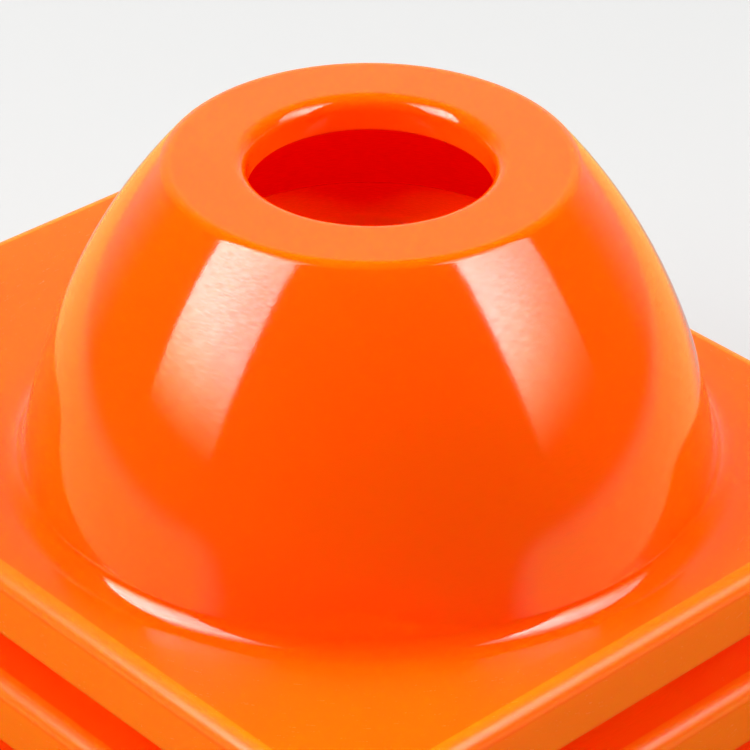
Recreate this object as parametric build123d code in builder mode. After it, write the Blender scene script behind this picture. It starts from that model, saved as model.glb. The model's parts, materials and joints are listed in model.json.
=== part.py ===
# Stack of sports marker cones: low plastic domes on flat plates, nested one over another.
#
# Each marker is one hollow moulding, a dome with a pole hole in its flat top and a rectangular
# plate with a rim turned down round its edge. The plate has a wide margin on one side of the dome.
# The markers are alike, and each lifts straight up off the one below it.
#
# Millimetres, +Z up. The origin is on the surface that the stack stands on, in the middle of the
# plates. The wide margin is on the +Y side.

import os
from math import hypot, sqrt

from build123d import *

# Plate, which is narrow round the dome's foot on three sides and wide on the fourth
plate_margin = 8.0
grip_margin = 29.0
plate_height = 9.0
plate_corner_radius = 12.0
plate_edge_round = 2.2
deck_thickness = 3.8
rim_wall = 3.8
rim_foot_round = 0.4
pocket_round = 1.5

# Dome
dome_foot_radius = 44.0
dome_top_radius = 25.0
dome_rise = 41.5
dome_bulge = 3.3
dome_wall = 3.8
dome_foot_fillet = 3.0
dome_lip_round = 2.4
top_edge_round = 1.8

# Flat top and its pole hole
top_thickness = 4.6
top_inner_fillet = 2.0
hole_radius = 15.0
hole_rim_round = 1.8
hole_foot_round = 0.5

# Stack, from the marker that stands on the surface up to the one on top
stack = ("marker_bottom", "marker_middle", "marker_top")
nest_clearance = 0.3

# The dome stands off the middle of the plate, by half of what the wide margin is wider.
plate_width = 2 * (dome_foot_radius + plate_margin)
plate_length = 2 * dome_foot_radius + plate_margin + grip_margin
dome_y = (plate_margin - grip_margin) / 2
dome_axis = Axis((0, dome_y, 0), (0, 0, 1))

# The dome's wall is an arc about one centre, inside and outside. Heights are from the deck's top.
chord = hypot(dome_foot_radius - dome_top_radius, dome_rise)
arc_radius = (chord**2 / 4 + dome_bulge**2) / (2 * dome_bulge)
centre_drop = arc_radius - dome_bulge
arc_centre_r = (dome_foot_radius + dome_top_radius) / 2 - centre_drop * dome_rise / chord
arc_centre_z = dome_rise / 2 - centre_drop * (dome_foot_radius - dome_top_radius) / chord
inner_arc_radius = arc_radius - dome_wall


def wall_radius(radius, height):
    """Distance from the axis to the arc of the given radius, at a height above the deck."""
    return arc_centre_r + sqrt(radius**2 - (height - arc_centre_z) ** 2)


def wall_height(radius, distance):
    """Height above the deck at which the arc of the given radius is that far from the axis."""
    return arc_centre_z + sqrt(radius**2 - (distance - arc_centre_r) ** 2)


# A marker comes down until its lip meets the wall of the dome below, or its rim meets the plate.
lip_height = dome_lip_round - deck_thickness
lip_radius = wall_radius(inner_arc_radius, lip_height)
wall_pitch = wall_height(arc_radius, lip_radius - nest_clearance) - lip_height
stack_pitch = max(wall_pitch, plate_height + nest_clearance)

# Heights within one marker, from the deck's top
deck_underside = -deck_thickness
rim_foot = -plate_height
top_underside = dome_rise - top_thickness
mid_height = (dome_rise + deck_underside) / 2
pocket_width = plate_width - 2 * rim_wall
pocket_length = plate_length - 2 * rim_wall
pocket_corner_radius = max(plate_corner_radius - rim_wall, pocket_round + rim_foot_round)
level_tolerance = 0.01


def edges_at(part, height):
    """Edges that lie level at the given height."""
    return part.edges().filter_by_position(Axis.Z, height - level_tolerance, height + level_tolerance)


def ring_at(part, height, radius):
    """Round edge that lies level at the given height and is nearest to the given radius."""
    rings = edges_at(part, height).filter_by(GeomType.CIRCLE)
    return rings.sort_by(lambda edge: abs(edge.radius - radius))[0]


def mould_marker(base):
    """One marker, with the foot of its rim at the height base."""
    deck = base + plate_height
    dome_top = deck + dome_rise
    half_section = Plane(origin=(0, dome_y, deck), x_dir=(1, 0, 0), z_dir=(0, -1, 0))

    with BuildPart() as marker:
        # Plate with its rounded upper edge
        with BuildSketch(Plane.XY.offset(base)):
            RectangleRounded(plate_width, plate_length, plate_corner_radius)
        extrude(amount=plate_height)
        fillet(marker.edges().group_by(Axis.Z)[-1], plate_edge_round)
        fillet(marker.edges().group_by(Axis.Z)[0], rim_foot_round)

        # Dome turned about its axis, standing on the plate
        with BuildSketch(half_section):
            with BuildLine():
                start = (dome_foot_radius, 0)
                middle = (wall_radius(arc_radius, dome_rise / 2), dome_rise / 2)
                end = (dome_top_radius, dome_rise)
                ThreePointArc(start, middle, end)
                Polyline(end, (0, dome_rise), (0, deck_underside), (dome_foot_radius, deck_underside), start)
            make_face()
        revolve(axis=dome_axis)
        fillet(ring_at(marker, deck, dome_foot_radius), dome_foot_fillet)
        fillet(ring_at(marker, dome_top, dome_top_radius), top_edge_round)

        # Pocket under the plate, inside its rim
        with BuildSketch(Plane.XY.offset(base)):
            RectangleRounded(pocket_width, pocket_length, pocket_corner_radius)
        extrude(amount=plate_height - deck_thickness, mode=Mode.SUBTRACT)
        fillet(edges_at(marker, deck + deck_underside), pocket_round)
        fillet(marker.faces().sort_by(Axis.Z)[0].inner_wires()[0].edges(), rim_foot_round)

        # Hollow of the dome, open into the pocket
        with BuildSketch(half_section):
            with BuildLine():
                start = (wall_radius(inner_arc_radius, deck_underside), deck_underside)
                middle = (wall_radius(inner_arc_radius, mid_height), mid_height)
                end = (wall_radius(inner_arc_radius, top_underside), top_underside)
                ThreePointArc(start, middle, end)
                Polyline(end, (0, top_underside), (0, rim_foot), (start[0], rim_foot), start)
            make_face()
        revolve(axis=dome_axis, mode=Mode.SUBTRACT)
        inner_lip = wall_radius(inner_arc_radius, deck_underside)
        inner_top = wall_radius(inner_arc_radius, top_underside)
        fillet(ring_at(marker, deck + deck_underside, inner_lip), dome_lip_round)
        fillet(ring_at(marker, deck + top_underside, inner_top), top_inner_fillet)

        # Pole hole through the flat top
        with Locations((0, dome_y, dome_top)):
            Hole(hole_radius, depth=top_thickness)
        fillet(ring_at(marker, dome_top, hole_radius), hole_rim_round)
        fillet(ring_at(marker, deck + top_underside, hole_radius), hole_foot_round)

    return marker


os.makedirs("parts", exist_ok=True)
for level, name in enumerate(stack):
    marker = mould_marker(level * stack_pitch)
    marker.part.label = name
    export_step(marker.part, f"parts/{name}.step")
    print(name, "foot at", round(level * stack_pitch, 3), "volume", round(marker.part.volume, 1))
print("pitch of the stack", round(stack_pitch, 3))
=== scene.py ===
# %% [markdown]
# # A stack of training markers
#
# The object is three low marker domes of glossy orange plastic, nested one over another. Each one is a
# single hollow moulding: a dome with a flat top and a pole hole, standing on a flat plate whose edge
# is turned down into a rim. The lesson makes one marker as a rule in Geometry Nodes, uses the rule
# three times, and then spends its time on what makes moulded plastic look like plastic.

# %% Load the frame
import json
from math import cos, pi, radians, sin

import bmesh
import bpy
from mathutils import Matrix, Vector


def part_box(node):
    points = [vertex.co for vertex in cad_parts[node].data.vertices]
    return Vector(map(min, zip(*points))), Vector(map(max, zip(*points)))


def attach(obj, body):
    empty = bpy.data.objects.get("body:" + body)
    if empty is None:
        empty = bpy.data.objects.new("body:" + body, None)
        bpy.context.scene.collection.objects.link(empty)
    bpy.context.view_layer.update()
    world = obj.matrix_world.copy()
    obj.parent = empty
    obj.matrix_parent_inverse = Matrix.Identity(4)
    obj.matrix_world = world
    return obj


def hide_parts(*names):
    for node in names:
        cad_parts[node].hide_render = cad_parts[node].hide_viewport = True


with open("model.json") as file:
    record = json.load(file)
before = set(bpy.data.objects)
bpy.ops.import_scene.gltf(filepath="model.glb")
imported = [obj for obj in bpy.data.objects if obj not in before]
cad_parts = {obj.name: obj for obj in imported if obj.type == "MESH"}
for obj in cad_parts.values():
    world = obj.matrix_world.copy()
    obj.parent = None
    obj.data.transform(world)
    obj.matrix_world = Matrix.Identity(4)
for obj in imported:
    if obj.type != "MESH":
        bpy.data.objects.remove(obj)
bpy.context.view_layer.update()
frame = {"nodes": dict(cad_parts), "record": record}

scene = bpy.context.scene
scene.view_settings.view_transform = "Standard"
print("solids in the frame:", ", ".join(sorted(frame["nodes"])))

# %% [markdown]
# ## Sizes
#
# What can be measured on the solids is read from the frame: the plate's two sides, the marker's height,
# the heights at which the markers sit, and the pole hole, which gives the dome's axis. The dome stands
# off the middle of the plate, so that one side has a wide margin to hold it by. The rest are the
# moulding's own sizes, such as its wall and its rounds. They are written once, in millimetres, and
# become the inputs of the node tree.

# %% Measure the frame and name the sizes
MM = 0.001
top_low, top_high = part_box("marker_top")
pole_hole = next(mount for mount in frame["record"]["mounts"] if mount["name"] == "pole_hole")
dome_axis = Vector((*pole_hole["pos_m"][:2], 0.0))
plate_height = 9.0 * MM
deck_level = top_low.z + plate_height

marker_sizes = {
    "Plate width": top_high.x - top_low.x,
    "Plate length": top_high.y - top_low.y,
    "Dome offset": dome_axis.y,
    "Plate height": plate_height,
    "Plate corner radius": 12.0 * MM,
    "Plate edge round": 2.2 * MM,
    "Deck thickness": 3.8 * MM,
    "Rim wall": 3.8 * MM,
    "Rim foot round": 0.4 * MM,
    "Pocket round": 1.5 * MM,
    "Dome foot radius": 44.0 * MM,
    "Dome top radius": 25.0 * MM,
    "Dome rise": top_high.z - deck_level,
    "Dome bulge": 3.3 * MM,
    "Dome wall": 3.8 * MM,
    "Dome foot fillet": 3.0 * MM,
    "Dome lip round": 2.4 * MM,
    "Top edge round": 1.8 * MM,
    "Top thickness": 4.6 * MM,
    "Top inner fillet": 2.0 * MM,
    "Hole radius": pole_hole["dims"]["r_mm"] * MM,
    "Hole rim round": 1.8 * MM,
    "Hole foot round": 0.5 * MM,
}
for label, size in marker_sizes.items():
    print(f"{label}: {size / MM:.2f} mm")

# %% [markdown]
# ## Camera
#
# The camera looks down on a corner of the top marker from close by, with a long lens. Its place is
# given as a photographer would say it: how far round, how high, how far away and how much the
# picture is shifted, all about the place where the dome's axis meets the top marker's deck.

# %% Place the camera
view_azimuth = radians(43.0547)
view_elevation = radians(32.6077)
view_roll = radians(0.3898)
view_distance = 443.58 * MM
view_shift_right = 0.69 * MM
view_shift_up = 8.80 * MM
lens_length = 168.0

view_right = Vector((cos(view_azimuth), -sin(view_azimuth), 0))
view_away = Vector((sin(view_azimuth), cos(view_azimuth), 0))
view_back = Vector((0, 0, sin(view_elevation))) - view_away * cos(view_elevation)
view_up = view_back.cross(view_right)
roll_right = view_right * cos(view_roll) + view_up * sin(view_roll)
roll_up = view_up * cos(view_roll) - view_right * sin(view_roll)

camera_data = bpy.data.cameras.new("camera")
camera_data.lens = lens_length
camera = bpy.data.objects.new("camera", camera_data)
scene.collection.objects.link(camera)
camera_turn = Matrix((roll_right, roll_up, view_back)).transposed()
view_middle = dome_axis + Vector((0, 0, deck_level))
camera_place = view_middle + view_back * view_distance
camera_place += view_right * view_shift_right + view_up * view_shift_up
camera.matrix_world = Matrix.Translation(camera_place) @ camera_turn.to_4x4()
scene.camera = camera
print("camera at", [round(value, 4) for value in camera_place])

# %% [markdown]
# ## Arithmetic in a node tree
#
# The section of a marker is arithmetic: where a round touches the wall of the dome, for one, follows
# from Pythagoras. In a node tree each plus and minus is a Math node, which is hard to read as code.
# This small class holds a socket and lets plain arithmetic on it add those nodes.


# %% Numbers that flow through a tree
def feed(tree, value, socket):
    """Sets an input socket to a plain value, or links it to a flowing one."""
    if isinstance(value, Flow):
        tree.links.new(value.socket, socket)
    else:
        socket.default_value = value


class Flow:
    """A value on its way through a node tree."""

    def __init__(self, tree, socket):
        self.tree = tree
        self.socket = socket

    def node(self, kind, operation, *others):
        made = self.tree.nodes.new(kind)
        made.operation = operation
        for value, socket in zip((self, *others), made.inputs):
            feed(self.tree, value, socket)
        return made

    def math(self, operation, *others):
        return Flow(self.tree, self.node("ShaderNodeMath", operation, *others).outputs[0])

    def vector(self, operation, *others):
        return Flow(self.tree, self.node("ShaderNodeVectorMath", operation, *others).outputs["Vector"])

    def times(self, factor):
        made = self.node("ShaderNodeVectorMath", "SCALE")
        feed(self.tree, factor, made.inputs["Scale"])
        return Flow(self.tree, made.outputs["Vector"])

    def __add__(self, other):
        return self.math("ADD", other)

    def __sub__(self, other):
        return self.math("SUBTRACT", other)

    def __rsub__(self, other):
        return self.negative() + other

    def __mul__(self, other):
        return self.math("MULTIPLY", other)

    def __truediv__(self, other):
        return self.math("DIVIDE", other)

    def squared(self):
        return self * self

    def root(self):
        return self.math("SQRT")

    def negative(self):
        return self * -1.0


print("arithmetic for node trees is ready")

# %% [markdown]
# ## The section of a marker
#
# Cut a marker down the middle and one side shows a closed line: round the rim of the hole, over the
# flat top, down the dome, out over the deck, round the rim of the plate and back along the inside.
# It could be drawn as a list of points, but nearly all of it is arcs that touch each other, so it is
# built as arcs here. Each stretch carries two marks with it: whether it follows the plate or the
# round dome, and how much painted yellow glow its colour gets, which stands for light that comes
# through the rim and its rounds, which stand free.

# %% Build the section from arcs and straight stretches
ARC_POINTS = 11
WALL_POINTS = 17
HOLD_NEAR = 0.05
HOLD_FAR = 0.3
MARKS = "marks"
# Painted light: the share of yellow glow painted into the colour of the top edge round, the rim's rounds and
# the rim
TOP_EDGE_PAINTED_GLOW = 0.1
ROUND_PAINTED_GLOW = 0.45
RIM_PAINTED_GLOW = 0.7


class Section:
    """The stretches of a marker's half section, in the order in which they follow each other."""

    def __init__(self, tree):
        self.tree = tree
        self.stretches = []

    def point(self, distance, height):
        made = self.tree.nodes.new("ShaderNodeCombineXYZ")
        feed(self.tree, distance, made.inputs["X"])
        feed(self.tree, height, made.inputs["Y"])
        return Flow(self.tree, made.outputs["Vector"])

    # Keeps two marks on a stretch: whether it follows the plate, and its share of painted yellow glow
    def keep(self, curve, on_plate, painted_glow):
        store = self.tree.nodes.new("GeometryNodeStoreNamedAttribute")
        store.data_type = "FLOAT_VECTOR"
        store.inputs["Name"].default_value = MARKS
        store.inputs["Value"].default_value = (float(on_plate), float(painted_glow), 0.0)
        self.tree.links.new(curve, store.inputs["Geometry"])
        self.stretches.append(store.outputs["Geometry"])

    def arc(self, centre, radius, start, end, on_plate=False, painted_glow=0.0, points=ARC_POINTS):
        made = self.tree.nodes.new("GeometryNodeCurveArc")
        made.mode = "RADIUS"
        made.inputs["Resolution"].default_value = points
        feed(self.tree, radius, made.inputs["Radius"])
        feed(self.tree, start, made.inputs["Start Angle"])
        feed(self.tree, end - start, made.inputs["Sweep Angle"])
        move = self.tree.nodes.new("GeometryNodeTransform")
        self.tree.links.new(made.outputs["Curve"], move.inputs["Geometry"])
        feed(self.tree, self.point(*centre), move.inputs["Translation"])
        self.keep(move.outputs["Geometry"], on_plate, painted_glow)

    def straight(self, start, end, first, last, on_plate=False, painted_glow=0.0):
        """Two points of a straight stretch, at the shares first and last of its length."""
        made = self.tree.nodes.new("GeometryNodeCurvePrimitiveLine")
        begin = self.point(*start)
        along = self.point(*end).vector("SUBTRACT", begin)
        feed(self.tree, begin.vector("ADD", along.times(first)), made.inputs["Start"])
        feed(self.tree, begin.vector("ADD", along.times(last)), made.inputs["End"])
        self.keep(made.outputs["Curve"], on_plate, painted_glow)

    def joined(self):
        join = self.tree.nodes.new("GeometryNodeJoinGeometry")
        for stretch in reversed(self.stretches):
            self.tree.links.new(stretch, join.inputs["Geometry"])
        return join.outputs["Geometry"]


print("an arc has", ARC_POINTS, "points, and the dome's wall has", WALL_POINTS)


# %% Draw the section
def draw_section(tree, size):
    """The closed half section of a marker. Heights are from the top of the deck."""
    section = Section(tree)
    half_side = size["Plate width"] / 2.0
    rise = size["Dome rise"]
    plate_foot = size["Plate height"].negative()
    underside = size["Deck thickness"].negative()
    ceiling = rise - size["Top thickness"]
    hole = size["Hole radius"]

    # The dome's wall is an arc about one centre, inside and outside.
    spread = size["Dome foot radius"] - size["Dome top radius"]
    chord = (spread.squared() + rise.squared()).root()
    bulge = size["Dome bulge"]
    outer = (chord.squared() / 4.0 + bulge.squared()) / (bulge * 2.0)
    inner = outer - size["Dome wall"]
    drop = outer - bulge
    wall_r = (size["Dome foot radius"] + size["Dome top radius"]) / 2.0 - drop * rise / chord
    wall_z = rise / 2.0 - drop * spread / chord

    def touching(reach, height):
        """Centre of a round at a height, that far from the wall's centre, and its direction from there."""
        above = height - wall_z
        out = (reach.squared() - above.squared()).root()
        return (wall_r + out, height), above.math("ARCTAN2", out)

    top_round = size["Top edge round"]
    foot_fillet = size["Dome foot fillet"]
    lip_round = size["Dome lip round"]
    inner_fillet = size["Top inner fillet"]
    top_centre, top_turn = touching(outer - top_round, rise - top_round)
    foot_centre, foot_turn = touching(outer + foot_fillet, foot_fillet)
    lip_centre, lip_turn = touching(inner + lip_round, lip_round + underside)
    inner_centre, inner_turn = touching(inner - inner_fillet, ceiling - inner_fillet)

    # Outside, from the hole to the plate
    held = HOLD_NEAR, 1 - HOLD_NEAR
    rim_round = size["Hole rim round"]
    section.arc((hole + rim_round, rise - rim_round), rim_round, pi, pi / 2)
    section.straight((hole + rim_round, rise), (top_centre[0], rise), *held)
    section.arc(top_centre, top_round, pi / 2, top_turn, painted_glow=TOP_EDGE_PAINTED_GLOW)
    section.arc((wall_r, wall_z), outer, top_turn, foot_turn, points=WALL_POINTS)
    section.arc(foot_centre, foot_fillet, foot_turn + pi, 3 * pi / 2)

    # Deck, then the rim of the plate
    edge_round = size["Plate edge round"]
    foot_round = size["Rim foot round"]
    pocket_round = size["Pocket round"]
    rim_inside = half_side - size["Rim wall"]
    deck = (foot_centre[0], 0.0), (half_side - edge_round, 0.0)
    section.straight(*deck, HOLD_NEAR, HOLD_FAR)
    section.straight(*deck, 1 - HOLD_FAR, 1 - HOLD_NEAR, on_plate=True)
    outer_side = (half_side, edge_round.negative()), (half_side, plate_foot + foot_round)
    rim_foot = (half_side - foot_round, plate_foot), (rim_inside + foot_round, plate_foot)
    inner_side = (rim_inside, plate_foot + foot_round), (rim_inside, underside - pocket_round)
    edge_centre = half_side - edge_round, edge_round.negative()
    outer_foot_centre = half_side - foot_round, plate_foot + foot_round
    inner_foot_centre = rim_inside + foot_round, plate_foot + foot_round
    pocket_centre = rim_inside - pocket_round, underside - pocket_round
    # The rim and its rounds get a painted yellow glow in their colour
    section.arc(edge_centre, edge_round, pi / 2, 0.0, on_plate=True, painted_glow=ROUND_PAINTED_GLOW)
    section.straight(*outer_side, *held, on_plate=True, painted_glow=RIM_PAINTED_GLOW)
    section.arc(outer_foot_centre, foot_round, 0.0, -pi / 2, on_plate=True, painted_glow=ROUND_PAINTED_GLOW)
    section.straight(*rim_foot, *held, on_plate=True, painted_glow=RIM_PAINTED_GLOW)
    section.arc(inner_foot_centre, foot_round, -pi / 2, -pi, on_plate=True, painted_glow=ROUND_PAINTED_GLOW)
    section.straight(*inner_side, *held, on_plate=True)
    section.arc(pocket_centre, pocket_round, 0.0, pi / 2, on_plate=True)

    # Underside, then the hollow of the dome back up to the hole
    under = (rim_inside - pocket_round, underside), (lip_centre[0], underside)
    section.straight(*under, HOLD_NEAR, HOLD_FAR, on_plate=True)
    section.straight(*under, 1 - HOLD_FAR, 1 - HOLD_NEAR)
    section.arc(lip_centre, lip_round, -pi / 2, lip_turn - pi)
    section.arc((wall_r, wall_z), inner, lip_turn, inner_turn, points=WALL_POINTS)
    section.arc(inner_centre, inner_fillet, inner_turn, pi / 2)
    hole_foot = size["Hole foot round"]
    section.straight((inner_centre[0], ceiling), (hole + hole_foot, ceiling), *held)
    section.arc((hole + hole_foot, ceiling + hole_foot), hole_foot, 3 * pi / 2, pi)
    section.straight((hole, ceiling + hole_foot), (hole, rise - rim_round), *held)
    return section.joined()


print("the section runs from the rim of the hole round to the hole again")

# %% [markdown]
# ## From the section to the whole moulding
#
# A lathe would turn the section about the axis, but only the dome is round: the plate is a rectangle
# with rounded corners. So the section goes round on a grid of points instead. Each column of the grid
# takes a place on the plate's outline, each row a place on the section. Rows of the dome are carried
# out from its axis towards that place, and rows of the plate are set in from the outline. Joining the
# first and last columns and rows then closes the skin, which has the form of a bent ring.

# %% Carry the section round the plate
COLUMNS = 420
CORNER_POINTS = 48
WELD = 0.0005 * MM
# Painted light: the attribute that holds each point's share of painted yellow glow
PAINTED_GLOW_MARK = "thin_edge"


def sample_row(tree, curve, value, row):
    """A vector of the section's points, at the given row."""
    sample = tree.nodes.new("GeometryNodeSampleIndex")
    sample.data_type = "FLOAT_VECTOR"
    sample.domain = "POINT"
    tree.links.new(curve, sample.inputs["Geometry"])
    tree.links.new(value, sample.inputs["Value"])
    feed(tree, row, sample.inputs["Index"])
    return Flow(tree, sample.outputs["Value"])


def split(vector):
    """The three numbers of a flowing vector."""
    made = vector.tree.nodes.new("ShaderNodeSeparateXYZ")
    feed(vector.tree, vector, made.inputs["Vector"])
    return [Flow(vector.tree, socket) for socket in made.outputs]


def rounded_outline(tree, width, length, corner_radius):
    """The plate's outline, a rectangle with rounded corners."""
    rectangle = tree.nodes.new("GeometryNodeCurvePrimitiveQuadrilateral")
    feed(tree, width, rectangle.inputs["Width"])
    feed(tree, length, rectangle.inputs["Height"])
    rounded = tree.nodes.new("GeometryNodeFilletCurve")
    rounded.mode = "POLY"
    rounded.inputs["Count"].default_value = CORNER_POINTS
    feed(tree, corner_radius, rounded.inputs["Radius"])
    tree.links.new(rectangle.outputs["Curve"], rounded.inputs["Curve"])
    return rounded.outputs["Curve"]


def skin_places(tree, size, column, distance, height, on_plate):
    """Where the grid's points go: out from the dome's axis, or in from the plate's outline."""
    outline = tree.nodes.new("GeometryNodeSampleCurve")
    outline.mode = "FACTOR"
    plate_sizes = (size["Plate width"], size["Plate length"], size["Plate corner radius"])
    tree.links.new(rounded_outline(tree, *plate_sizes), outline.inputs["Curves"])
    feed(tree, (column / size["Columns"]).math("FLOORED_MODULO", 1.0), outline.inputs["Factor"])
    place = Flow(tree, outline.outputs["Position"])
    outward = Flow(tree, outline.outputs["Tangent"]).vector("CROSS_PRODUCT", (0.0, 0.0, 1.0))
    facing = outward.node("ShaderNodeVectorMath", "DOT_PRODUCT", place).outputs["Value"]
    outward = outward.times(Flow(tree, facing).math("SIGN"))

    axis = tree.nodes.new("ShaderNodeCombineXYZ")
    feed(tree, size["Dome offset"], axis.inputs["Y"])
    axis = Flow(tree, axis.outputs["Vector"])
    round_place = place.vector("SUBTRACT", axis).vector("NORMALIZE").times(distance).vector("ADD", axis)
    plate_place = place.vector("ADD", outward.times(distance - size["Plate width"] / 2.0))
    step = plate_place.vector("SUBTRACT", round_place).times(on_plate)
    level = tree.nodes.new("ShaderNodeCombineXYZ")
    feed(tree, height + size["Base"] + size["Plate height"], level.inputs["Z"])
    return round_place.vector("ADD", step).vector("ADD", Flow(tree, level.outputs["Vector"]))


def finish_skin(tree, mesh, skin_place, painted_glow, plastic_socket):
    """Takes the grid to its places, closes it into a skin and gives it its plastic."""
    # Painted light: each point keeps its share of the yellow glow painted into its colour
    store_painted_glow = tree.nodes.new("GeometryNodeStoreNamedAttribute")
    store_painted_glow.data_type = "FLOAT"
    store_painted_glow.inputs["Name"].default_value = PAINTED_GLOW_MARK
    feed(tree, painted_glow, store_painted_glow.inputs["Value"])
    shape = tree.nodes.new("GeometryNodeSetPosition")
    feed(tree, skin_place, shape.inputs["Position"])
    weld = tree.nodes.new("GeometryNodeMergeByDistance")
    weld.inputs["Distance"].default_value = WELD
    outside = tree.nodes.new("GeometryNodeFlipFaces")
    smooth = tree.nodes.new("GeometryNodeSetShadeSmooth")
    realize = tree.nodes.new("GeometryNodeRealizeInstances")
    finish = tree.nodes.new("GeometryNodeSetMaterial")
    tree.links.new(plastic_socket, finish.inputs["Material"])
    output = tree.nodes.new("NodeGroupOutput")
    passed_on = mesh
    for stage in (store_painted_glow, shape, weld, outside, smooth, realize, finish, output):
        tree.links.new(passed_on, stage.inputs[0])
        passed_on = stage.outputs[0] if stage.outputs else None


print("the grid has", COLUMNS, "columns, and", CORNER_POINTS, "points lie on each corner of the plate")


# %% Build the tree of one marker
def build_marker_tree():
    """The node tree that moulds one marker from its named sizes."""
    tree = bpy.data.node_groups.new("marker_moulding", "GeometryNodeTree")
    tree.interface.new_socket("Geometry", in_out="OUTPUT", socket_type="NodeSocketGeometry")
    for label in ("Base", *marker_sizes):
        tree.interface.new_socket(label, in_out="INPUT", socket_type="NodeSocketFloat")
    tree.interface.new_socket("Columns", in_out="INPUT", socket_type="NodeSocketInt")
    tree.interface.new_socket("Plastic", in_out="INPUT", socket_type="NodeSocketMaterial")
    given = tree.nodes.new("NodeGroupInput")
    size = {label: Flow(tree, given.outputs[label]) for label in ("Base", *marker_sizes, "Columns")}

    section = draw_section(tree, size)
    count = tree.nodes.new("GeometryNodeAttributeDomainSize")
    count.component = "CURVE"
    tree.links.new(section, count.inputs["Geometry"])
    rows = Flow(tree, count.outputs["Point Count"])

    grid = tree.nodes.new("GeometryNodeMeshGrid")
    feed(tree, size["Columns"] + 1.0, grid.inputs["Vertices X"])
    feed(tree, rows + 1.0, grid.inputs["Vertices Y"])
    index = Flow(tree, tree.nodes.new("GeometryNodeInputIndex").outputs["Index"])
    column = (index / (rows + 1.0)).math("FLOOR")
    row = (index - column * (rows + 1.0)).math("FLOORED_MODULO", rows)

    position = tree.nodes.new("GeometryNodeInputPosition").outputs["Position"]
    marks = tree.nodes.new("GeometryNodeInputNamedAttribute")
    marks.data_type = "FLOAT_VECTOR"
    marks.inputs["Name"].default_value = MARKS
    distance, height, unused_depth = split(sample_row(tree, section, position, row))
    # The second mark is the share of painted yellow glow on that row
    on_plate, painted_glow, unused_mark = split(sample_row(tree, section, marks.outputs["Attribute"], row))

    skin_place = skin_places(tree, size, column, distance, height, on_plate)
    finish_skin(tree, grid.outputs["Mesh"], skin_place, painted_glow, given.outputs["Plastic"])
    return tree


marker_tree = build_marker_tree()
print("nodes in the marker's tree:", len(marker_tree.nodes))

# %% [markdown]
# ## Finish of the mould
#
# Plastic copies the steel that it was pressed against. The dome's half of the mould was turned on a
# lathe and polished, so faint rings run round the dome, broken into short dashes where the polish took
# them off. All over there are tiny pits, and the wall is never quite true after it cools. None of this
# could be modelled at its size, a fifth of a millimetre, so it is height for a Bump node. The two
# effects are node groups: each takes a place on the object and gives back heights from 0 to 1.

# %% Build the two groups of surface marks
def new_group(name, inputs, outputs):
    """An empty shader group with a place and named numbers as its sockets, and its two end nodes."""
    group = bpy.data.node_groups.new(name, "ShaderNodeTree")
    group.interface.new_socket("Place", in_out="INPUT", socket_type="NodeSocketVector")
    for label in inputs:
        group.interface.new_socket(label, in_out="INPUT", socket_type="NodeSocketFloat")
    for label in outputs:
        group.interface.new_socket(label, in_out="OUTPUT", socket_type="NodeSocketFloat")
    return group, group.nodes.new("NodeGroupInput"), group.nodes.new("NodeGroupOutput")


def noise(tree, place, scale, detail=2.0, roughness=0.5):
    """A noise of the given scale at a flowing place, from 0 to 1."""
    made = tree.nodes.new("ShaderNodeTexNoise")
    feed(tree, place, made.inputs["Vector"])
    feed(tree, scale, made.inputs["Scale"])
    made.inputs["Detail"].default_value = detail
    made.inputs["Roughness"].default_value = roughness
    return Flow(tree, made.outputs["Fac"])


def build_turned_marks():
    """Short dashes round an upright axis, as a lathe and its polish leave them."""
    group, given, result = new_group("turned_marks", ["Dash length", "Dash width"], ["Dashes"])
    x, y, z = split(Flow(group, given.outputs["Place"]))
    radius = (x.squared() + y.squared()).root()
    dash_length = Flow(group, given.outputs["Dash length"])
    dash_width = Flow(group, given.outputs["Dash width"])
    along = y.math("ARCTAN2", x) * marker_sizes["Dome foot radius"] / dash_length
    across = (z - radius) / dash_width
    wrapped = group.nodes.new("ShaderNodeCombineXYZ")
    feed(group, along, wrapped.inputs["X"])
    feed(group, across, wrapped.inputs["Y"])
    dashes = noise(group, Flow(group, wrapped.outputs["Vector"]), 1.0, detail=1.0)
    feed(group, dashes, result.inputs["Dashes"])
    return group


def build_grain():
    """Tiny pits, and the slow waves of a wall that cooled unevenly."""
    inputs = ["Pits per metre", "Waves per metre"]
    group, given, result = new_group("moulded_grain", inputs, ["Pits", "Waves"])
    place = Flow(group, given.outputs["Place"])
    pits = noise(group, place, Flow(group, given.outputs["Pits per metre"]), detail=1.0)
    waves = noise(group, place, Flow(group, given.outputs["Waves per metre"]), detail=0.0)
    feed(group, pits, result.inputs["Pits"])
    feed(group, waves, result.inputs["Waves"])
    return group


turned_marks = build_turned_marks()
moulded_grain = build_grain()
print("groups of surface marks:", turned_marks.name, "and", moulded_grain.name)

# %% [markdown]
# ## Plastic
#
# The markers are polyethylene, coloured through and glossy. Three things make it look soft and bright.
# Red light goes some millimetres into the wall before it comes out again, which is what Subsurface is
# for. A weak red Emission is painted light: a glow that keeps the hole and the gaps between the plates
# deep red and not brown, where little light reaches. The rim of the plate and the edge rounds get a
# painted glow too: their base colour turns yellower, standing for light that comes through the thin
# plastic, which stands free, and the mark on those rows of the mesh says how much. The base colour
# drifts a little over the moulding, and the gloss follows the marks of the mould: they break the
# polished skin, which is the coat, into finer and duller dashes. The plate is given a softer gloss
# than the dome, which keeps the mirror images on its deck faint.

# %% Name the plastic's values
DEEP_ORANGE = (0.97, 0.088, 0.0004, 1.0)
LIGHT_ORANGE = (0.98, 0.108, 0.0007, 1.0)
# Painted light: a yellower orange for light that comes through the thin rim and rounds
PAINTED_GLOW_YELLOW = (0.98, 0.240, 0.0024, 1.0)
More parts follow.
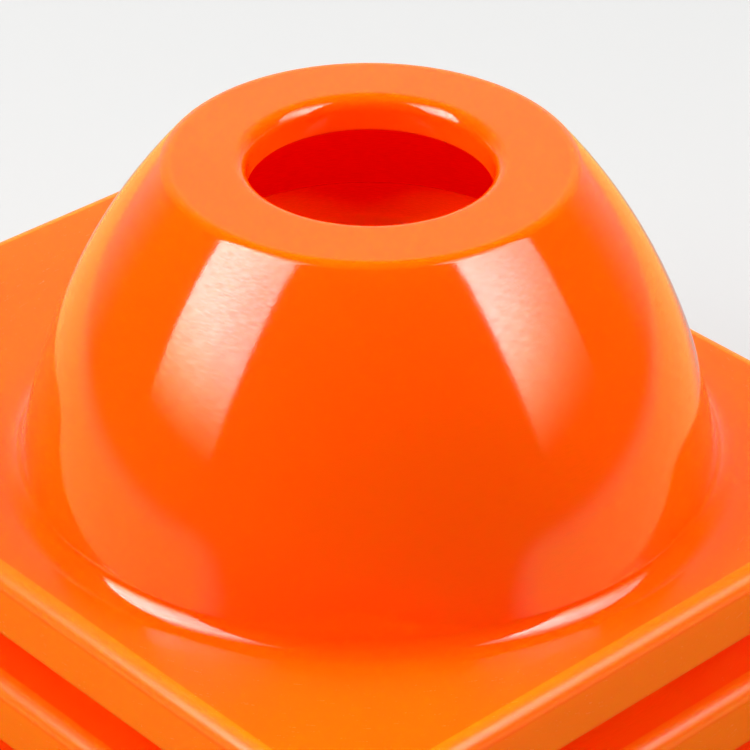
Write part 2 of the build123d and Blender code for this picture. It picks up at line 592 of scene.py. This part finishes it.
# Painted light: a weak red glow of the plastic, no lamp, that keeps the hole and the gaps between the plates
# red
PAINTED_RED_GLOW = (1.0, 0.0, 0.0, 1.0)
PAINTED_RED_GLOW_STRENGTH = 0.10
LIGHT_REACH = 5.0 * MM
REACH_OF_COLOURS = (1.0, 0.12, 0.02)
SUBSURFACE_SHARE = 0.6
PLASTIC_IOR = 1.54
DRIFT_PER_METRE = 45.0
DRIFT_DETAIL = 3.0
DASH_LENGTH = 2.2 * MM
DASH_WIDTH = 0.16 * MM
DASH_HEIGHT = 0.0040 * MM
PITS_PER_METRE = 4200.0
PIT_HEIGHT = 0.0045 * MM
WAVES_PER_METRE = 70.0
WAVE_HEIGHT = 0.045 * MM
HEIGHT_SCALE = 1.0
SMOOTHEST = 0.04
DASH_ROUGHNESS = 0.03
PIT_ROUGHNESS = 0.02
COAT_ROUGHNESS = 0.05
COAT_BY_DASH = (0.35, 0.65, 0.15, 1.0)
PLATE_FROM = marker_sizes["Dome foot radius"] + 2.0 * MM
PLATE_FULL = marker_sizes["Dome foot radius"] + 6.0 * MM
PLATE_ROUGHNESS = 0.20
PLATE_COAT_LOSS = 0.8
print("dashes", DASH_LENGTH / MM, "by", DASH_WIDTH / MM, "mm, light goes", LIGHT_REACH / MM, "mm deep")


# %% Helpers for materials
def add_group(tree, group, place, **values):
    """A group in a tree, fed with a place and plain values, by the names of its outputs."""
    made = tree.nodes.new("ShaderNodeGroup")
    made.node_tree = group
    feed(tree, place, made.inputs["Place"])
    for label, value in values.items():
        made.inputs[label.replace("_", " ")].default_value = value
    return {socket.name: Flow(tree, socket) for socket in made.outputs}


def mix_colours(tree, share, first, second):
    """The second colour laid over the first by a flowing share."""
    made = tree.nodes.new("ShaderNodeMix")
    made.data_type = "RGBA"
    feed(tree, share, made.inputs["Factor"])
    feed(tree, first, made.inputs["A"])
    feed(tree, second, made.inputs["B"])
    return Flow(tree, made.outputs["Result"])


def ramp(value, low, high, bottom, top):
    """A smooth step of a flowing value from bottom to top, between low and high."""
    made = value.tree.nodes.new("ShaderNodeMapRange")
    made.interpolation_type = "SMOOTHSTEP"
    for label, setting in (("From Min", low), ("From Max", high), ("To Min", bottom), ("To Max", top)):
        made.inputs[label].default_value = setting
    feed(value.tree, value, made.inputs["Value"])
    return Flow(value.tree, made.outputs["Result"])


print("groups, mixed colours and ramps can be added to a tree")


# %% Make the plastic
def make_plastic():
    """Glossy orange plastic that lets red light through."""
    material = bpy.data.materials.new("orange_plastic")
    material.use_nodes = True
    tree = material.node_tree
    shader = tree.nodes["Principled BSDF"]
    coordinates = tree.nodes.new("ShaderNodeTexCoord").outputs["Object"]
    from_axis = Flow(tree, coordinates).vector("SUBTRACT", tuple(dome_axis))
    marks = add_group(tree, turned_marks, from_axis, Dash_length=DASH_LENGTH, Dash_width=DASH_WIDTH)
    per_metre = {"Pits_per_metre": PITS_PER_METRE, "Waves_per_metre": WAVES_PER_METRE}
    grain = add_group(tree, moulded_grain, from_axis, **per_metre)

    # Colour: a slow drift, and a painted yellow glow on the thin edges
    drift = noise(tree, from_axis, DRIFT_PER_METRE, detail=DRIFT_DETAIL)
    colour = mix_colours(tree, drift, DEEP_ORANGE, LIGHT_ORANGE)
    painted_glow_share = tree.nodes.new("ShaderNodeAttribute")
    painted_glow_share.attribute_name = PAINTED_GLOW_MARK
    colour = mix_colours(tree, Flow(tree, painted_glow_share.outputs["Fac"]), colour, PAINTED_GLOW_YELLOW)
    feed(tree, colour, shader.inputs["Base Color"])

    # Gloss, and the height of the marks in metres
    x, y, unused_height = split(from_axis)
    plate = ramp((x.squared() + y.squared()).root(), PLATE_FROM, PLATE_FULL, 0.0, 1.0)
    roughness = marks["Dashes"] * DASH_ROUGHNESS + grain["Pits"] * PIT_ROUGHNESS + SMOOTHEST
    feed(tree, roughness + plate * PLATE_ROUGHNESS, shader.inputs["Roughness"])
    coat = ramp(marks["Dashes"], *COAT_BY_DASH) * (1.0 - plate * PLATE_COAT_LOSS)
    feed(tree, coat, shader.inputs["Coat Weight"])
    shader.inputs["Coat Roughness"].default_value = COAT_ROUGHNESS
    height = marks["Dashes"] * DASH_HEIGHT + grain["Pits"] * PIT_HEIGHT + grain["Waves"] * WAVE_HEIGHT
    bump = tree.nodes.new("ShaderNodeBump")
    bump.inputs["Distance"].default_value = HEIGHT_SCALE
    feed(tree, height, bump.inputs["Height"])
    tree.links.new(bump.outputs["Normal"], shader.inputs["Normal"])
    shader.inputs["IOR"].default_value = PLASTIC_IOR
    shader.inputs["Subsurface Weight"].default_value = SUBSURFACE_SHARE
    shader.inputs["Subsurface Radius"].default_value = REACH_OF_COLOURS
    shader.inputs["Subsurface Scale"].default_value = LIGHT_REACH
    # Painted light: the weak red glow of the plastic
    shader.inputs["Emission Color"].default_value = PAINTED_RED_GLOW
    shader.inputs["Emission Strength"].default_value = PAINTED_RED_GLOW_STRENGTH
    return material


plastic = make_plastic()
print("nodes in the plastic:", len(plastic.node_tree.nodes))

# %% [markdown]
# ## Three markers from one rule
#
# The same rule is used for each marker. Only the height of its base differs, and that is read from the
# solid that the piece stands for. The tree runs once through a modifier, and what it made is kept as a
# plain mesh, because the piece is then carried by its body.

# %% Mould the markers
def mould(node_name, body):
    """A plain mesh of one marker, in the place of its solid."""
    piece = bpy.data.objects.new(node_name + "_skin", bpy.data.meshes.new(node_name + "_skin"))
    scene.collection.objects.link(piece)
    rule = piece.modifiers.new("moulding", "NODES")
    rule.node_group = marker_tree
    values = {**marker_sizes, "Base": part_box(node_name)[0].z, "Columns": COLUMNS, "Plastic": plastic}
    for item in marker_tree.interface.items_tree:
        if item.in_out == "INPUT":
            rule[item.identifier] = values[item.name]
    evaluated = piece.evaluated_get(bpy.context.evaluated_depsgraph_get())
    mesh = bpy.data.meshes.new_from_object(evaluated)
    piece.modifiers.remove(rule)
    piece.data = mesh
    mesh.name = piece.name
    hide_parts(node_name)
    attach(piece, body)
    return piece


for body, nodes in frame["record"]["behaviour"]["bodies"].items():
    for node_name in nodes:
        marker = mould(node_name, body)
        print(marker.name, "has", len(marker.data.polygons), "faces and rides on", body)

# %% [markdown]
# ## Floor and tent
#
# Gloss shows the room. A photographer puts a shiny thing in a tent of cloth that is bright at the back
# and unlit at the front: the flat top and the deck then mirror the bright back as a pale sheen, and the
# front of the dome, which mirrors the side where the camera is, keeps its full colour. The tent here is
# a sphere that glows more towards its back, and the camera looks through it. The pale floor sends soft
# light up and takes the shadow of the stack, but it is kept out of the mirror images, as a polarising
# filter would cut its veil. Otherwise the lower dome and the sides of the plates would turn pink. What
# is left of it is a warm skirt of the tent, low down at both sides, which the dome's lower flanks mirror.
# Far off, where the lamps no longer reach, the paper glows a little to stay as pale as near the stack.
# A ramp is four numbers: the range of what goes in, and what comes out at its low and high ends.

# %% Floor
WHITE = (1.0, 1.0, 1.0, 1.0)
FLOOR_REACH = 6.0
FLOOR_PALE = (0.375, 0.377, 0.402, 1.0)
FLOOR_ROUGHNESS = 0.9
# Glow by the distance from the stack in metres
FLOOR_GLOW = (0.25, 1.3, 0.0, 0.75)


def stage_object(name, mesh, material):
    """Something of the studio, which isn't part of the object."""
    made = bpy.data.objects.new(name, mesh)
    mesh.materials.append(material)
    scene.collection.objects.link(made)
    return made


def make_floor_paper():
    """Plain pale paper, which glows a little where the lamps no longer reach it."""
    material = bpy.data.materials.new("floor_paper")
    material.use_nodes = True
    tree = material.node_tree
    shader = tree.nodes["Principled BSDF"]
    shader.inputs["Base Color"].default_value = FLOOR_PALE
    shader.inputs["Roughness"].default_value = FLOOR_ROUGHNESS
    place = Flow(tree, tree.nodes.new("ShaderNodeTexCoord").outputs["Object"])
    away = Flow(tree, place.node("ShaderNodeVectorMath", "LENGTH").outputs["Value"])
    shader.inputs["Emission Color"].default_value = WHITE
    feed(tree, ramp(away, *FLOOR_GLOW), shader.inputs["Emission Strength"])
    return material


floor_mesh = bpy.data.meshes.new("floor")
floor_corners = [(x * FLOOR_REACH, y * FLOOR_REACH, 0) for x, y in ((-1, -1), (1, -1), (1, 1), (-1, 1))]
floor_mesh.from_pydata(floor_corners, [], [(0, 1, 2, 3)])
floor = stage_object("floor", floor_mesh, make_floor_paper())
floor.visible_glossy = False
print("floor reaches", FLOOR_REACH, "m each way")

# %% Tent
TENT_RADIUS = 9.0
TENT_SEGMENTS = 64
TENT_RINGS = 32
TENT_BACK_ELEVATION = -10.0
# Glow by the cosine of the angle from the middle of the tent's back
TENT_GLOW = (0.38, 1.0, 0.006, 0.50)
SKIRT_SIDES = (-0.68, -0.5, 0.0, 1.0)
# Glow by the sine of the elevation
SKIRT_TOP = (-0.18, -0.08, 0.8, 0.0)
SKIRT_FOOT = (-0.50, -0.35, 0.0, 1.0)
SKIRT_COLOUR = (1.0, 0.8, 0.05, 1.0)


def from_view(azimuth, elevation):
    """A direction as seen from the camera: azimuth to the right of straight away, and elevation."""
    level = view_away * cos(radians(azimuth)) + view_right * sin(radians(azimuth))
    return level * cos(radians(elevation)) + Vector((0, 0, sin(radians(elevation))))


def make_tent_cloth():
    """Cloth that glows by how far it lies towards the tent's back, with a warm skirt at its sides."""
    material = bpy.data.materials.new("tent_cloth")
    material.use_nodes = True
    tree = material.node_tree
    tree.nodes.remove(tree.nodes["Principled BSDF"])
    coordinates = tree.nodes.new("ShaderNodeTexCoord").outputs["Object"]
    direction = Flow(tree, coordinates).vector("NORMALIZE")
    middle = tuple(from_view(0.0, TENT_BACK_ELEVATION))
    towards = Flow(tree, direction.node("ShaderNodeVectorMath", "DOT_PRODUCT", middle).outputs["Value"])
    unused_x, unused_y, height = split(direction)
    glow = tree.nodes.new("ShaderNodeEmission")
    back = ramp(towards, *TENT_GLOW)
    skirt = ramp(height, *SKIRT_TOP) * ramp(height, *SKIRT_FOOT) * ramp(towards, *SKIRT_SIDES)
    feed(tree, mix_colours(tree, skirt, WHITE, SKIRT_COLOUR), glow.inputs["Color"])
    feed(tree, back.math("MAXIMUM", skirt), glow.inputs["Strength"])
    tree.links.new(glow.outputs["Emission"], tree.nodes["Material Output"].inputs["Surface"])
    return material


sphere = bmesh.new()
bmesh.ops.create_uvsphere(sphere, u_segments=TENT_SEGMENTS, v_segments=TENT_RINGS, radius=TENT_RADIUS)
tent_mesh = bpy.data.meshes.new("tent")
sphere.to_mesh(tent_mesh)
sphere.free()
tent = stage_object("tent", tent_mesh, make_tent_cloth())
tent.visible_camera = False
print("tent", TENT_RADIUS, "m in radius")

# %% Background
BACKGROUND = (0.887, 0.887, 0.887, 1.0)
world = bpy.data.worlds.new("world")
scene.world = world
world.use_nodes = True
world.node_tree.nodes["Background"].inputs["Color"].default_value = BACKGROUND
print("background", BACKGROUND[:3])

# %% [markdown]
# ## Softboxes
#
# The dome mirrors each tall softbox as an upright strip, so their places can be worked out backwards:
# where a strip is seen on the dome, the mirror direction points at the lamp. They stand left and right,
# a little towards the camera. They are darker and warmer at the foot, so the strips fade out downwards,
# and darker at the top. The rim of the hole mirrors them as two short dashes. The fillet at the dome's
# foot is hollow and mirrors each lamp once more, as a bright crescent. A lamp's Parametric coordinate
# gives the place on the lamp, from 0 to 1 each way, which makes the fades. Two more softboxes, high at
# the back, light the flat top and the deck. They are kept out of the mirror images, where they would be
# more strips.

# %% Softboxes
LAMP_DISTANCE = 0.8
LOW_END = (1.0, 0.9, 0.35, 1.0)
HIGH_END = (1.0, 1.0, 0.95, 1.0)
SIDE_LAMP = {"wide": 0.46, "tall": 0.86, "top_fade": (0.70, 0.92, 1.0, 0.2)}
BACK_LAMP = {"wide": 0.45, "tall": 0.40, "top_fade": (0.0, 1.0, 1.0, 1.0)}


def softbox(name, azimuth, elevation, radiance, wide, tall, top_fade, upwards_fade, sideways_fade):
    """A lamp that faces the dome, with its radiance at its bright end, and its fades as ramps."""
    lamp = bpy.data.lights.new(name, "AREA")
    lamp.shape = "RECTANGLE"
    lamp.size = wide
    lamp.size_y = tall
    lamp.energy = radiance * pi * wide * tall
    lamp.use_nodes = True
    tree = lamp.node_tree
    parametric = Flow(tree, tree.nodes.new("ShaderNodeNewGeometry").outputs["Parametric"])
    sideways, upwards, unused_depth = split(parametric)
    share = ramp(upwards, *upwards_fade)
    glow = tree.nodes["Emission"]
    strength = share * ramp(upwards, *top_fade) * ramp(sideways, *sideways_fade)
    feed(tree, strength, glow.inputs["Strength"])
    feed(tree, mix_colours(tree, share, LOW_END, HIGH_END), glow.inputs["Color"])
    made = bpy.data.objects.new(name, lamp)
    direction = from_view(azimuth, elevation)
    turn = direction.to_track_quat("Z", "Y").to_matrix().to_4x4()
    made.matrix_world = Matrix.Translation(view_middle + direction * LAMP_DISTANCE) @ turn
    made.visible_camera = False
    scene.collection.objects.link(made)
    return made


print("a softbox stands", LAMP_DISTANCE, "m from the dome")

# %% Set up the softboxes
left_fades = {"upwards_fade": (-0.05, 0.38, 0.0, 1.0), "sideways_fade": (0.3, 1.0, 1.0, 0.6)}
right_fades = {"upwards_fade": (-0.01, 0.53, 0.0, 1.0), "sideways_fade": (0.0, 1.0, 1.0, 0.4)}
back_fades = {"upwards_fade": (0.0, 0.2, 0.5, 1.0), "sideways_fade": (0.0, 0.2, 0.5, 1.0)}
softbox("left_softbox", azimuth=-112, elevation=36, radiance=8.0, **SIDE_LAMP, **left_fades)
softbox("right_softbox", azimuth=106, elevation=35, radiance=7.8, **SIDE_LAMP, **right_fades)
back_left = softbox("back_left_softbox", azimuth=-50, elevation=55, radiance=13.2, **BACK_LAMP, **back_fades)
back_right = softbox("back_right_softbox", azimuth=50, elevation=55, radiance=12.1, **BACK_LAMP, **back_fades)
for lamp in (back_left, back_right):
    lamp.visible_glossy = False
print("two softboxes at the sides, and two at the back that no surface mirrors")
